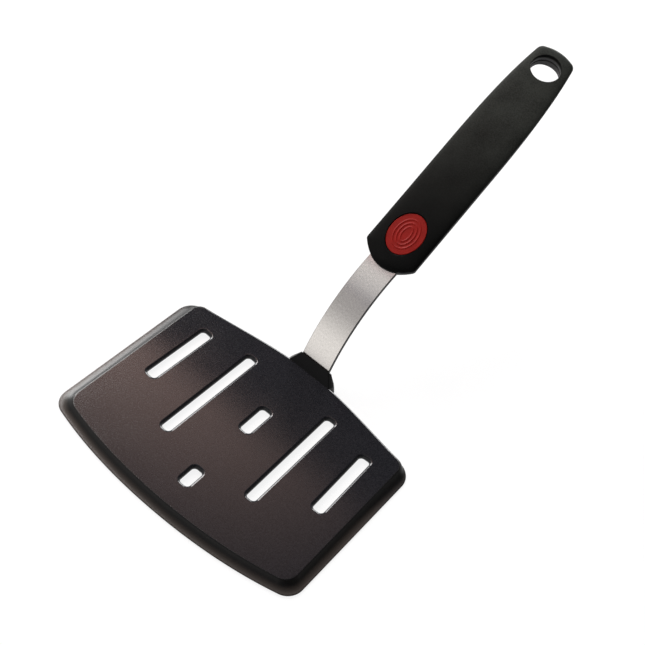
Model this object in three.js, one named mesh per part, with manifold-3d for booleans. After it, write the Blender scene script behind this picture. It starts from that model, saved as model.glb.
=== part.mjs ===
import * as THREE from 'three';
import { mergeVertices } from 'three/addons/utils/BufferGeometryUtils.js';
import Module from 'manifold-3d';

const wasm = await Module();
wasm.setup();

// Sizes are in millimetres and angles in degrees. The blade lies flat on z = 0 with its front lip at y = 0.

// Blade
const BLADE_LENGTH = 98.2;
const BLADE_FRONT_WIDTH = 140;
const BLADE_BACK_WIDTH = 132;
const BLADE_THICKNESS = 3;
const FRONT_BOW = 9.4;
const BACK_BOW = 8.05;
const FRONT_CORNER_RADIUS = 8.2;
const BACK_CORNER_RADIUS = 8.7;
const FIELD_FRONT_RADIUS = 6.7;
const FIELD_BACK_RADIUS = 4.7;
const FIELD_EDGE_ROUND = 0.3;
const LIP_THICKNESS = 0.7;
const LIP_WIDTH = 0.7;
const COVE_WIDTH = 5.2;
const COVE_HOLLOW = 1.9;
const BLADE_RIM_RADIUS = 1.1;

// Slots. They fan out from a point on the blade's axis, far behind it.
const SLOT_WIDTH = 5.3;
const INNER_SLOT_WIDTH = 4.8;
const SLOT_CORNER_RADIUS = 1.7;
const SLOT_RIM_RADIUS = 1.4;
const SLOT_FAN_RADIUS = 770;
const OUTER_SLOT_LENGTH = 34.2;
const OUTER_SLOT_BACK_GAP = 16.7;
const OUTER_SLOT_SHARE = 0.714;
const INNER_SLOT_LENGTH = 53.7;
const INNER_SLOT_BACK_GAP = 12.7;
const INNER_SLOT_SHARE = 0.358;
const UPPER_SLOT_LENGTH = 14.6;
const UPPER_SLOT_BACK_GAP = 28.5;
const LOWER_SLOT_LENGTH = 9.85;
const LOWER_SLOT_FRONT_GAP = 17.4;

// Steel inside the blade
const FIT_GAP = 0.25;
const UNDERSIDE_SKIN = 0.4;
const CORE_PLATE_THICKNESS = 0.75;
const CORE_PLATE_INSET = 7;
const CORE_PLATE_BACK_INSET = 5;
const SLOT_LINING = 2.2;

// Neck strip: a thin foot in the blade, a bend, a straight rise, an arch and a tang in the handle
const NECK_WIDTH = 15.2;
const NECK_THICKNESS = 2;
const FOOT_LENGTH = 21;
const FOOT_THICKNESS = 0.6;
const FOOT_SETBACK = 2.6;
const NECK_BEND_RADIUS = 5;
const NECK_RISE_ANGLE = 62;
const NECK_RISE_LENGTH = 3.7;
const NECK_ARCH_RADIUS = 71;
const NECK_ENTRY_ANGLE = 20.6;
const TANG_ANGLE = 14;
const TANG_LENGTH = 32;
const TANG_HOLE_RADIUS = 2.6;
const TANG_HOLE_SHARES = [0.3, 0.62];

// Rivets through the foot and the core plate
const RIVET_RADIUS = 1.4;
const RIVET_HEAD_RADIUS = 2.2;
const RIVET_HEAD_DEPTH = 0.4;
const RIVET_SPREAD = 8.4;
const RIVET_EDGE = 6;

// Collar of the jacket around the neck
const COLLAR_HALF_WIDTH = 13.5;
const COLLAR_WAIST_HALF_WIDTH = 12.1;
const COLLAR_MOUTH_HALF_WIDTH = 8.6;
const COLLAR_MOUTH_DROP = 1.8;
const COLLAR_WALL = 0.55;
const COLLAR_FRONT_REACH = 1.3;
const COLLAR_HEEL = 2.4;

// Handle: z is measured from the crown of its top face, y from its front end
const HANDLE_ANGLE = 24;
const HANDLE_TOP_OVER_NECK = 2.9;
const HANDLE_LENGTH = 125.1;
const HANDLE_FRONT_WIDTH = 27.5;
const HANDLE_WIDTH = 27.2;
const HANDLE_TAIL_WIDTH = 19;
const HANDLE_FRONT_BOW = 6.9;
const HANDLE_TAIL_BOW = 1.6;
const HANDLE_FRONT_RADIUS = 2.2;
const HANDLE_TAIL_RADIUS = 3.4;
const HANDLE_CROWN = 1.6;
const HANDLE_FRONT_DEPTH = 12;
const HANDLE_BELLY_DEPTH = 12.6;
const HANDLE_TAIL_DEPTH = 4.6;
const TOP_SQUARENESS = 3;
const BELLY_SQUARENESS = 2;
const TOP_END_ROUND = 4.2;
const BELLY_END_ROUND = 2;
const GRIP_WALL = 2.4;
const HANDLE_CORE_START = 9.5;
const HANDLE_CORE_END_GAP = 33;
const HANDLE_CORE_WALL = 1.5;
const HANDLE_CORE_HOLLOW_END = 0.68;
const HANDLE_CORE_HOLLOW_LAP = 6;

// Hanging hole
const HOLE_HALF_WIDTH = 7.3;
const HOLE_HALF_LENGTH = 6;
const HOLE_LEAN = 8;
const HOLE_TAIL_WALL = 3.8;
const HOLE_RIM_ROUND = 0.8;
const HOLE_DRAFT = 0.35;

// Thumb rest
const THUMB_HALF_WIDTH = 8.37;
const THUMB_HALF_LENGTH = 10.28;
const THUMB_CENTRE = 18.1;
const THUMB_THICKNESS = 1.3;
const THUMB_SINK = 0.35;
const RIDGE_HEIGHT = 0.2;
const RIDGE_HALF_WIDTH = 0.5;
const OUTER_RIDGE = [5.4, 7.4];
const MIDDLE_RIDGE = [3.7, 5.6];
const INNER_RIDGE = [2.0, 3.8];

const { degToRad, lerp } = THREE.MathUtils;

// A closed body through a stack of rings, all with the same even number of points and listed from below
// upwards. The end faces are strips from the points on one side of the ring to those on the other.
function loft(rings) {
  const count = rings[0].length;
  const last = (rings.length - 1) * count;
  const index = [];
  for (let i = 0; i < count / 2; i += 1) {
    const across = count - 1 - i;
    if (i > 0) {
      index.push(i, across + 1, across);
      index.push(last + i, last + across, last + across + 1);
    }
    if (across > i + 1) {
      index.push(i, across, i + 1);
      index.push(last + i, last + i + 1, last + across);
    }
  }
  for (let level = 0; level < rings.length - 1; level += 1) {
    for (let i = 0; i < count; i += 1) {
      const a = level * count + i;
      const b = level * count + ((i + 1) % count);
      index.push(a, b, b + count, a, b + count, a + count);
    }
  }
  const geometry = new THREE.BufferGeometry().setFromPoints(rings.flat());
  geometry.setIndex(index);
  return geometry;
}

function solidOf(geometry) {
  const plain = geometry.clone();
  plain.deleteAttribute('normal');
  plain.deleteAttribute('uv');
  const merged = mergeVertices(plain, 1e-4);
  return new wasm.Manifold(new wasm.Mesh({
    numProp: 3,
    vertProperties: new Float32Array(merged.attributes.position.array),
    triVerts: new Uint32Array(merged.index.array),
  }));
}

function geometryOf(solid) {
  const { vertProperties, triVerts } = solid.getMesh();
  const geometry = new THREE.BufferGeometry();
  geometry.setAttribute('position', new THREE.BufferAttribute(vertProperties, 3));
  geometry.setIndex(new THREE.BufferAttribute(triVerts, 1));
  geometry.computeVertexNormals();
  return geometry;
}

function cut(body, tools) {
  return tools.reduce((rest, tool) => rest.subtract(tool), body);
}

function named(name, solid, color, roughness, metalness) {
  const material = new THREE.MeshStandardMaterial({ color, roughness, metalness });
  const mesh = new THREE.Mesh(geometryOf(solid), material);
  mesh.name = name;
  return mesh;
}

// The right half of a symmetric outline, mirrored into a full ring at one height.
function mirrored(half, height) {
  const right = half.map((point) => new THREE.Vector3(point.x, point.y, height));
  const left = half.slice(1, -1).reverse().map((point) => new THREE.Vector3(-point.x, point.y, height));
  return [...right, ...left];
}

// Adds a round corner to a path: the path arrives from one point and leaves towards another.
function roundCorner(path, before, corner, after, radius) {
  const arriving = corner.clone().sub(before).normalize();
  const leaving = after.clone().sub(corner).normalize();
  const turn = arriving.angleTo(leaving);
  const reach = radius * Math.tan(turn / 2);
  const pull = reach - (4 / 3) * radius * Math.tan(turn / 4);
  const start = corner.clone().addScaledVector(arriving, -reach);
  const end = corner.clone().addScaledVector(leaving, reach);
  const first = corner.clone().addScaledVector(arriving, -pull);
  const second = corner.clone().addScaledVector(leaving, pull);
  return {
    start,
    end,
    draw: () => path.bezierCurveTo(first.x, first.y, second.x, second.y, end.x, end.y),
  };
}

const v2 = (x, y) => new THREE.Vector2(x, y);

// Blade outline
const backCornerY = BLADE_LENGTH - BACK_BOW;

function bladeHalfWidth(y) {
  const share = (y - FRONT_BOW) / (backCornerY - FRONT_BOW);
  return lerp(BLADE_FRONT_WIDTH, BLADE_BACK_WIDTH, share) / 2;
}

function bladeRing(height, inset, backInset, frontRadius, backRadius) {
  const frontY = inset + FRONT_BOW * (1 - 2 * inset / BLADE_FRONT_WIDTH) ** 2;
  const backY = backCornerY - backInset + inset * BACK_BOW / (BLADE_BACK_WIDTH / 2);
  const front = v2(bladeHalfWidth(frontY) - inset, frontY);
  const back = v2(bladeHalfWidth(backY) - inset, backY);
  const frontPull = v2(front.x / 2, inset);
  const backEnd = BLADE_LENGTH - backInset;
  const backPull = v2(0.64 * back.x, lerp(backY, backEnd, 0.39));
  const path = new THREE.Path();
  const frontCorner = roundCorner(path, frontPull, front, back, frontRadius);
  const backCorner = roundCorner(path, front, back, backPull, backRadius);
  path.moveTo(0, inset);
  path.quadraticCurveTo(frontPull.x, frontPull.y, frontCorner.start.x, frontCorner.start.y);
  frontCorner.draw();
  path.lineTo(backCorner.start.x, backCorner.start.y);
  backCorner.draw();
  path.bezierCurveTo(backPull.x, backPull.y, back.x / 3, backEnd, 0, backEnd);
  return mirrored(path.getPoints(8), height);
}

// A thin lip, a hollow cove rising from it on three sides, and a flat raised field with a round back rim.
function bladeBody() {
  const lipRound = LIP_THICKNESS / 2;
  const rim = (height) => {
    const above = Math.max(0, height - (BLADE_THICKNESS - BLADE_RIM_RADIUS));
    return BLADE_RIM_RADIUS - Math.sqrt(BLADE_RIM_RADIUS ** 2 - above ** 2);
  };
  const ring = (height, inset) => {
    const share = Math.min(1, inset / COVE_WIDTH);
    const frontRadius = lerp(FRONT_CORNER_RADIUS, FIELD_FRONT_RADIUS, share);
    const backRadius = lerp(BACK_CORNER_RADIUS, FIELD_BACK_RADIUS, share);
    return bladeRing(height, inset, rim(height), frontRadius, backRadius);
  };
  const rings = [ring(0, lipRound), ring(lipRound, 0), ring(0.85 * LIP_THICKNESS, 0.15 * LIP_WIDTH)];
  for (const share of [0, 0.3, 0.55, 0.75, 0.9, 0.97]) {
    const height = lerp(LIP_THICKNESS, BLADE_THICKNESS, share ** COVE_HOLLOW);
    rings.push(ring(height, lerp(LIP_WIDTH, COVE_WIDTH, share)));
  }
  rings.push(ring(BLADE_THICKNESS, COVE_WIDTH + FIELD_EDGE_ROUND));
  return solidOf(loft(rings));
}

function bladePlate(bottom, top, grow) {
  const inset = CORE_PLATE_INSET - grow;
  const backInset = CORE_PLATE_BACK_INSET - grow;
  const ring = (height) => bladeRing(height, inset, backInset, FRONT_CORNER_RADIUS, BACK_CORNER_RADIUS);
  return solidOf(loft([ring(bottom), ring(top)]));
}

// Slots
const outerSlotY = BLADE_LENGTH - OUTER_SLOT_BACK_GAP - OUTER_SLOT_LENGTH / 2;
const innerSlotY = BLADE_LENGTH - INNER_SLOT_BACK_GAP - INNER_SLOT_LENGTH / 2;
const upperSlotY = BLADE_LENGTH - UPPER_SLOT_BACK_GAP - UPPER_SLOT_LENGTH / 2;
const lowerSlotY = LOWER_SLOT_FRONT_GAP + LOWER_SLOT_LENGTH / 2;
const outerSlotX = OUTER_SLOT_SHARE * bladeHalfWidth(outerSlotY);
const innerSlotX = INNER_SLOT_SHARE * bladeHalfWidth(innerSlotY);
const slots = [
  { x: -outerSlotX, y: outerSlotY, length: OUTER_SLOT_LENGTH, width: SLOT_WIDTH },
  { x: -innerSlotX, y: innerSlotY, length: INNER_SLOT_LENGTH, width: INNER_SLOT_WIDTH },
  { x: 0, y: upperSlotY, length: UPPER_SLOT_LENGTH, width: SLOT_WIDTH },
  { x: 0, y: lowerSlotY, length: LOWER_SLOT_LENGTH, width: SLOT_WIDTH },
  { x: innerSlotX, y: innerSlotY, length: INNER_SLOT_LENGTH, width: INNER_SLOT_WIDTH },
  { x: outerSlotX, y: outerSlotY, length: OUTER_SLOT_LENGTH, width: SLOT_WIDTH },
];

function slotRing(slot, grow, height) {
  const half = v2(slot.width / 2 + grow, slot.length / 2 + grow);
  const radius = SLOT_CORNER_RADIUS + grow;
  const corner = half.clone().subScalar(radius);
  const path = new THREE.Path();
  path.absarc(corner.x, corner.y, radius, 0, Math.PI / 2);
  path.absarc(-corner.x, corner.y, radius, Math.PI / 2, Math.PI);
  path.absarc(-corner.x, -corner.y, radius, Math.PI, 1.5 * Math.PI);
  path.absarc(corner.x, -corner.y, radius, 1.5 * Math.PI, 2 * Math.PI);
  const turn = slot.x / SLOT_FAN_RADIUS;
  const points = path.getPoints(3).slice(0, -1);
  return points.map((point) => {
    const placed = point.clone().rotateAround(v2(0, 0), turn);
    return new THREE.Vector3(placed.x + slot.x, placed.y + slot.y, height);
  });
}

function slotCutter(slot) {
  const rings = [slotRing(slot, SLOT_RIM_RADIUS, -1)];
  const upper = [];
  for (const angle of [90, 66, 44, 22, 0]) {
    const out = SLOT_RIM_RADIUS * (1 - Math.cos(degToRad(angle)));
    const height = SLOT_RIM_RADIUS * (1 - Math.sin(degToRad(angle)));
    rings.push(slotRing(slot, out, height));
    upper.unshift(slotRing(slot, out, BLADE_THICKNESS - height));
  }
  return solidOf(loft([...rings, ...upper, slotRing(slot, SLOT_RIM_RADIUS, BLADE_THICKNESS + 1)]));
}

function slotBlock(slot, grow) {
  return solidOf(loft([slotRing(slot, grow, -1), slotRing(slot, grow, BLADE_THICKNESS + 1)]));
}

// Heights of the layers in the blade
const plateBottom = UNDERSIDE_SKIN + FIT_GAP;
const plateTop = plateBottom + CORE_PLATE_THICKNESS;
const footBottom = plateTop + FIT_GAP;
const footTop = footBottom + FOOT_THICKNESS;

// Middle line of the neck strip in the y-z plane, with its slope and half thickness at each station
const footEnd = BLADE_LENGTH - FOOT_SETBACK;
const footFront = footEnd - FOOT_LENGTH;
const footMiddle = (footBottom + footTop) / 2;
const rise = degToRad(NECK_RISE_ANGLE);
const riseStart = v2(
  footEnd + NECK_BEND_RADIUS * Math.sin(rise),
  footMiddle + NECK_BEND_RADIUS * (1 - Math.cos(rise)),
);
const archStart = riseStart.clone().add(v2(Math.cos(rise), Math.sin(rise)).multiplyScalar(NECK_RISE_LENGTH));

function archPoint(angle) {
  const across = NECK_ARCH_RADIUS * (Math.sin(rise) - Math.sin(angle));
  const up = NECK_ARCH_RADIUS * (Math.cos(angle) - Math.cos(rise));
  return archStart.clone().add(v2(across, up));
}

const tang = degToRad(TANG_ANGLE);
const tangStart = archPoint(tang);
const tangAlong = v2(Math.cos(tang), Math.sin(tang));

function neckStations(grow) {
  const stations = [
    { at: v2(footFront - grow, footMiddle), slope: 0, half: FOOT_THICKNESS / 2 },
    { at: v2(footEnd, footMiddle), slope: 0, half: FOOT_THICKNESS / 2 },
  ];
  for (let step = 1; step <= 5; step += 1) {
    const slope = rise * step / 5;
    const across = NECK_BEND_RADIUS * Math.sin(slope);
    const up = NECK_BEND_RADIUS * (1 - Math.cos(slope));
    const half = lerp(FOOT_THICKNESS, NECK_THICKNESS, (step / 5) ** 2) / 2;
    stations.push({ at: v2(footEnd + across, footMiddle + up), slope, half });
  }
  for (let step = 0; step <= 16; step += 1) {
    const slope = lerp(rise, tang, step / 16);
    stations.push({ at: archPoint(slope), slope, half: NECK_THICKNESS / 2 });
  }
  const tangEnd = tangStart.clone().addScaledVector(tangAlong, TANG_LENGTH + grow);
  stations.push({ at: tangEnd, slope: tang, half: NECK_THICKNESS / 2 });
  return stations;
}

// Rivets
const rivets = [
  { name: 'neck_rivet_left', x: -RIVET_SPREAD / 2, y: footEnd - RIVET_EDGE },
  { name: 'neck_rivet_right', x: RIVET_SPREAD / 2, y: footEnd - RIVET_EDGE },
  { name: 'neck_rivet_front', x: 0, y: footFront + RIVET_EDGE },
];

function circle(radius, x, y, height, count) {
  const points = new THREE.Path().absarc(x, y, radius, 0, 2 * Math.PI).getPoints(count / 2);
  return points.slice(0, -1).map((point) => new THREE.Vector3(point.x, point.y, height));
}

function rivetBody(rivet, grow) {
  const flare = grow * (RIVET_HEAD_RADIUS - RIVET_RADIUS) / RIVET_HEAD_DEPTH;
  const ring = (radius, height) => circle(radius + grow, rivet.x, rivet.y, height, 24);
  return solidOf(loft([
    ring(RIVET_HEAD_RADIUS + flare, plateBottom - grow),
    ring(RIVET_RADIUS, plateBottom + RIVET_HEAD_DEPTH),
    ring(RIVET_RADIUS, footTop - RIVET_HEAD_DEPTH),
    ring(RIVET_HEAD_RADIUS + flare, footTop + grow),
  ]));
}

// The neck strip, or the room it needs when it is grown by the fit gap.
function neckBody(grow) {
  const stations = neckStations(grow);
  const side = (sign) => stations.map(({ at, slope, half }) => {
    const reach = sign * (half + grow);
    return v2(at.x - Math.sin(slope) * reach, at.y + Math.cos(slope) * reach);
  });
  const profile = new THREE.Shape([...side(-1), ...side(1).reverse()]);
  const width = NECK_WIDTH + 2 * grow;
  const strip = new THREE.ExtrudeGeometry(profile, { depth: width, bevelEnabled: false });
  const across = new THREE.Vector3(1, 0, 0);
  const along = new THREE.Vector3(0, 1, 0);
  const up = new THREE.Vector3(0, 0, 1);
  strip.applyMatrix4(new THREE.Matrix4().makeBasis(along, up, across));
  strip.translate(-width / 2, 0, 0);
  const holes = TANG_HOLE_SHARES.map((share) => {
    const at = tangStart.clone().addScaledVector(tangAlong, TANG_LENGTH * share);
    const reach = NECK_THICKNESS + grow;
    const rings = [-reach, reach].map((height) => circle(TANG_HOLE_RADIUS - grow, 0, 0, height, 24));
    const hole = loft(rings);
    hole.rotateX(tang);
    hole.translate(0, at.x, at.y);
    return solidOf(hole);
  });
  return cut(solidOf(strip), holes);
}

// Collar: a wedge that climbs from the blade's back edge to a mouth around the neck, lower at its back
function collarRing(front, back, halfWidth, frontShare) {
  const point = (x, share) => {
    const at = front.clone().lerp(back, share);
    return new THREE.Vector3(x, at.x, at.y);
  };
  const half = [[frontShare * halfWidth, 0], [halfWidth, 0.4], [halfWidth, 0.7], [0.9 * halfWidth, 1]];
  const right = half.map(([x, share]) => point(x, share));
  const left = half.map(([x, share]) => point(-x, share)).reverse();
  return [...right, ...left];
}

function collarBody() {
  const reach = NECK_THICKNESS / 2 + FIT_GAP + COLLAR_WALL;
  const square = v2(Math.sin(rise), -Math.cos(rise));
  const mouthFront = archStart.clone().addScaledVector(square, -reach);
  const down = v2(Math.cos(rise), Math.sin(rise)).multiplyScalar(-COLLAR_MOUTH_DROP);
  const mouthBack = archStart.clone().addScaledVector(square, reach).add(down);
  const heel = v2(BLADE_LENGTH + COLLAR_HEEL, 0);
  const base = v2(BLADE_LENGTH - COLLAR_FRONT_REACH, BLADE_THICKNESS);
  const waist = mouthBack.clone().lerp(heel, 0.6);
  return solidOf(loft([
    collarRing(v2(base.x - 2, 0), heel, COLLAR_HALF_WIDTH, 0.9),
    collarRing(base, waist, COLLAR_WAIST_HALF_WIDTH, 0.955),
    collarRing(mouthFront, mouthBack, COLLAR_MOUTH_HALF_WIDTH, 0.91),
  ]));
}

// Handle outline, seen square to its top face
function handleHalf() {
  const front = v2(HANDLE_FRONT_WIDTH / 2, HANDLE_FRONT_BOW);
  const middle = v2(HANDLE_WIDTH / 2, HANDLE_LENGTH / 2);
  const tail = v2(HANDLE_TAIL_WIDTH / 2, HANDLE_LENGTH - HANDLE_TAIL_BOW);
  const frontPull = v2(front.x / 2, 0);
  const tailPull = v2(tail.x + 0.32 * (middle.x - tail.x), tail.y - 0.06 * HANDLE_LENGTH);
  const shoulder = v2(tail.x + 0.68 * (middle.x - tail.x), tail.y - 0.125 * HANDLE_LENGTH);
  const sidePull = v2(middle.x, 0.25 * HANDLE_LENGTH);
  const path = new THREE.Path();
  const frontCorner = roundCorner(path, frontPull, front, sidePull, HANDLE_FRONT_RADIUS);
  const tailCorner = roundCorner(path, tailPull, tail, v2(0, HANDLE_LENGTH), HANDLE_TAIL_RADIUS);
  path.moveTo(0, 0);
  path.quadraticCurveTo(frontPull.x, frontPull.y, frontCorner.start.x, frontCorner.start.y);
  frontCorner.draw();
  path.quadraticCurveTo(sidePull.x, sidePull.y, middle.x, middle.y);
  const taper = tailCorner.start;
  path.bezierCurveTo(middle.x, 0.74 * HANDLE_LENGTH, shoulder.x, shoulder.y, taper.x, taper.y);
  tailCorner.draw();
  path.quadraticCurveTo(tailCorner.end.x / 2, HANDLE_LENGTH, 0, HANDLE_LENGTH);
  return path.getPoints(7);
}

const handleOutline = mirrored(handleHalf(), 0);
const handleDepth = new THREE.CubicInterpolant(
  [0, 0.33, 0.62, 0.86, 1].map((share) => share * HANDLE_LENGTH),
  [
    HANDLE_FRONT_DEPTH,
    HANDLE_BELLY_DEPTH,
    lerp(HANDLE_TAIL_DEPTH, HANDLE_BELLY_DEPTH, 0.83),
    lerp(HANDLE_TAIL_DEPTH, HANDLE_BELLY_DEPTH, 0.22),
    HANDLE_TAIL_DEPTH,
  ],
  1,
);

// The handle's shape, drawn in by a margin and used as far as one end. Its top is flat and its belly round.
function handleBody(margin, end) {
  const middle = HANDLE_LENGTH / 2;
  const widthShare = 1 - 2 * margin / HANDLE_WIDTH;
  const ring = (share, endRound, heightAt) => handleOutline.map((point) => {
    const ends = 1 - (margin + endRound * (1 - share)) / middle;
    const y = middle + (point.y - middle) * ends;
    return new THREE.Vector3(point.x * share * widthShare, y, heightAt(y));
  });
  const rings = [];
  for (const angle of [76, 60, 45, 31, 18, 8]) {
    const share = Math.cos(degToRad(angle)) ** (2 / BELLY_SQUARENESS);
    const drop = Math.sin(degToRad(angle)) ** (2 / BELLY_SQUARENESS);
    rings.push(ring(share, BELLY_END_ROUND, (y) => {
      const depth = handleDepth.evaluate(THREE.MathUtils.clamp(y, 0, end))[0];
      return -margin - HANDLE_CROWN - (depth - HANDLE_CROWN - 2 * margin) * drop;
    }));
  }
  for (const angle of [0, 12, 26, 42, 58, 76]) {
    const share = Math.cos(degToRad(angle)) ** (2 / TOP_SQUARENESS);
    const lift = Math.sin(degToRad(angle)) ** (2 / TOP_SQUARENESS);
    rings.push(ring(share, TOP_END_ROUND, () => -margin - HANDLE_CROWN * (1 - lift)));
  }
  return solidOf(loft(rings));
}

function handleSpan(from, to) {
  const box = new THREE.BoxGeometry(2 * HANDLE_WIDTH, to - from, 4 * HANDLE_BELLY_DEPTH);
  box.translate(0, (from + to) / 2, 0);
  return solidOf(box);
}

function oval(halfWidth, halfLength, middle, height) {
  const path = new THREE.Path().absellipse(0, middle, halfWidth, halfLength, 0, 2 * Math.PI);
  return path.getPoints(24).slice(0, -1).map((point) => new THREE.Vector3(point.x, point.y, height));
}

// The oval hole leans a little from upright when the blade lies flat, and narrows to a parting line half-way
// through.
function hangingHole() {
  const centre = HANDLE_LENGTH - HOLE_TAIL_WALL - HOLE_HALF_LENGTH;
  const lean = Math.tan(degToRad(HANDLE_ANGLE + HOLE_LEAN));
  const depth = handleDepth.evaluate(centre)[0];
  const ring = (grow, height) => {
    const middle = centre + lean * height;
    return oval(HOLE_HALF_WIDTH + grow, HOLE_HALF_LENGTH + grow, middle, height);
  };
  const round = HOLE_RIM_ROUND;
  return solidOf(loft([
    ring(round, -depth - 3),
    ring(round, -depth),
    ring(0.3 * round, -depth + 0.3 * round),
    ring(0, -depth + round),
    ring(-HOLE_DRAFT, -depth / 2),
    ring(0, -round),
    ring(0.3 * round, -0.3 * round),
    ring(round, 0),
    ring(round, 2),
  ]));
}

// Thumb rest
function thumbRing(grow, height) {
  return oval(THUMB_HALF_WIDTH + grow, THUMB_HALF_LENGTH + grow, THUMB_CENTRE, height);
}

function thumbBody() {
  const top = -THUMB_SINK;
  const rings = [
    thumbRing(0, top - THUMB_THICKNESS),
    thumbRing(0, top - 0.2),
    thumbRing(-0.25, top),
  ];
  for (const [halfWidth, halfLength] of [OUTER_RIDGE, MIDDLE_RIDGE, INNER_RIDGE]) {
    for (const [share, lift] of [[1, 0], [0.4, 1], [-0.4, 1], [-1, 0]]) {
      const grow = share * RIDGE_HALF_WIDTH;
      rings.push(oval(halfWidth + grow, halfLength + grow, THUMB_CENTRE, top + lift * RIDGE_HEIGHT));
    }
  }
  return solidOf(loft(rings));
}

function thumbSeat() {
  const bottom = -THUMB_SINK - THUMB_THICKNESS - FIT_GAP;
  return solidOf(loft([thumbRing(FIT_GAP, bottom), thumbRing(FIT_GAP, 2)]));
}

// Blade and neck
const neckRoom = neckBody(FIT_GAP);
const plateRoom = cut(
  bladePlate(plateBottom - FIT_GAP, plateTop + FIT_GAP, FIT_GAP),
  slots.map((slot) => slotBlock(slot, SLOT_LINING - FIT_GAP)),
);
const rivetRooms = rivets.map((rivet) => rivetBody(rivet, FIT_GAP));
const jacket = cut(bladeBody().add(collarBody()), [...slots.map(slotCutter), plateRoom, neckRoom]);
const plate = cut(bladePlate(plateBottom, plateTop, 0), [
  ...slots.map((slot) => slotBlock(slot, SLOT_LINING)),
  ...rivetRooms,
]);
const neck = cut(neckBody(0), rivetRooms);

const spatula = new THREE.Group();
spatula.name = 'slotted_spatula';
spatula.add(named('blade_jacket', jacket, 0x2b2a2d, 0.5, 0));
spatula.add(named('blade_core', plate, 0xa9a8a6, 0.35, 1));
spatula.add(named('neck_strip', neck, 0xc9c6c2, 0.32, 1));
for (const rivet of rivets) {
  spatula.add(named(rivet.name, rivetBody(rivet, 0), 0xb4b2ae, 0.4, 1));
}

// Handle, in a group that stands on the neck where the neck enters it
const handle = new THREE.Group();
handle.name = 'handle';
const entry = archPoint(degToRad(NECK_ENTRY_ANGLE));
const lean = degToRad(HANDLE_ANGLE);
handle.position.set(
  0,
  entry.x - HANDLE_TOP_OVER_NECK * Math.sin(lean),
  entry.y + HANDLE_TOP_OVER_NECK * Math.cos(lean),
);
handle.rotation.x = lean;
handle.updateMatrix();
const neckInHandle = solidOf(geometryOf(neckRoom).applyMatrix4(handle.matrix.clone().invert()));

const coreEnd = HANDLE_LENGTH - HANDLE_CORE_END_GAP;
const hollowEnd = HANDLE_CORE_HOLLOW_END * HANDLE_LENGTH;
const tangEnd = tangStart.clone().addScaledVector(tangAlong, TANG_LENGTH);
const handleFront = v2(handle.position.y, handle.position.z);
const tangReach = tangEnd.sub(handleFront).dot(v2(Math.cos(lean), Math.sin(lean)));
const coreMargin = GRIP_WALL + FIT_GAP;
const coreRoom = handleBody(GRIP_WALL, coreEnd)
  .intersect(handleSpan(HANDLE_CORE_START - FIT_GAP, coreEnd + FIT_GAP));
const coreHollow = handleBody(coreMargin + HANDLE_CORE_WALL, hollowEnd)
  .intersect(handleSpan(tangReach - HANDLE_CORE_HOLLOW_LAP, hollowEnd));
const core = cut(handleBody(coreMargin, coreEnd).intersect(handleSpan(HANDLE_CORE_START, coreEnd)), [
  neckInHandle,
  coreHollow,
]);
const grip = cut(handleBody(0, HANDLE_LENGTH), [coreRoom, neckInHandle, hangingHole(), thumbSeat()]);

handle.add(named('handle_core', core, 0x3a3a3c, 0.6, 0));
handle.add(named('handle_grip', grip, 0x1b1b1c, 0.62, 0));
handle.add(named('thumb_rest', thumbBody(), 0x8a2523, 0.5, 0));
spatula.add(handle);

// The origin is under the middle of the object, on the surface that it lies on.
const box = new THREE.Box3().setFromObject(spatula, true);
spatula.position.y = -(box.min.y + box.max.y) / 2;

export default spatula;
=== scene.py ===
"""Looks of a slotted spatula: a coved silicone blade, a bent steel neck and a soft black handle.

The pieces are in millimetres from the middle of the blade's front lip, and their meshes are written in
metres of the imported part's frame. The finishes and the studio are in metres. Each sub-assembly is a class
with its sizes, and each finish is a frozen dataclass.
"""

import logging
import math
from collections.abc import Iterable, Sequence
from dataclasses import dataclass, field, replace
from enum import Enum, IntEnum

import bmesh
import bpy
from mathutils import Matrix, Quaternion, Vector


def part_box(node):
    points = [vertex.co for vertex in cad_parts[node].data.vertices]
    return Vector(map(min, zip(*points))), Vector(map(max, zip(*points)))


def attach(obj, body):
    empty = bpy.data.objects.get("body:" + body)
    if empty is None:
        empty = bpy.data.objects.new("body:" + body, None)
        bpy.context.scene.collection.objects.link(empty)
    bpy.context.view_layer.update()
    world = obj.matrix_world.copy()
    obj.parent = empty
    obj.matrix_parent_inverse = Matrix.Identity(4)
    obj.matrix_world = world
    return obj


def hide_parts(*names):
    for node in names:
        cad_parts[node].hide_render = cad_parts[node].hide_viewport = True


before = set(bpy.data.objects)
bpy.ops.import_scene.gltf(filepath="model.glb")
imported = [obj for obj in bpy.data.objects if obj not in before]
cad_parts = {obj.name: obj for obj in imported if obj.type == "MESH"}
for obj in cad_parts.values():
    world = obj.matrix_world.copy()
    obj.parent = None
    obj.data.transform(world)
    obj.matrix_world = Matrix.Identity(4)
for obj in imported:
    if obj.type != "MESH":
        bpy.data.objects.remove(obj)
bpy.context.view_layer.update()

MM = 0.001
BODY = "root"
LOG = logging.getLogger("spatula")

Colour = tuple[float, float, float]
Place = tuple[float, float, float]
Span = tuple[float, float]
Ring = list[Vector]
Loop = list[bmesh.types.BMVert]
Piece = bpy.types.Object
Material = bpy.types.Material
Socket = bpy.types.NodeSocket


class Shaping(Enum):
    """How one closed mesh works on another."""

    JOIN = "UNION"
    REMOVE = "DIFFERENCE"


class Surface(Enum):
    """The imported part's material slots that the new pieces stand for."""

    SILICONE = "silicone"
    BRUSHED_STRIP = "brushed_strip"
    SOFT_GRIP = "soft_grip"
    RED_INSERT = "red_insert"


class StripFinish(IntEnum):
    """The order of the neck strip's finishes."""

    FACE = 0
    EDGE = 1


class BladeFinish(IntEnum):
    """The order of the blade's finishes."""

    FIELD = 0
    EDGE = 1
    COLLAR = 2


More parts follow.
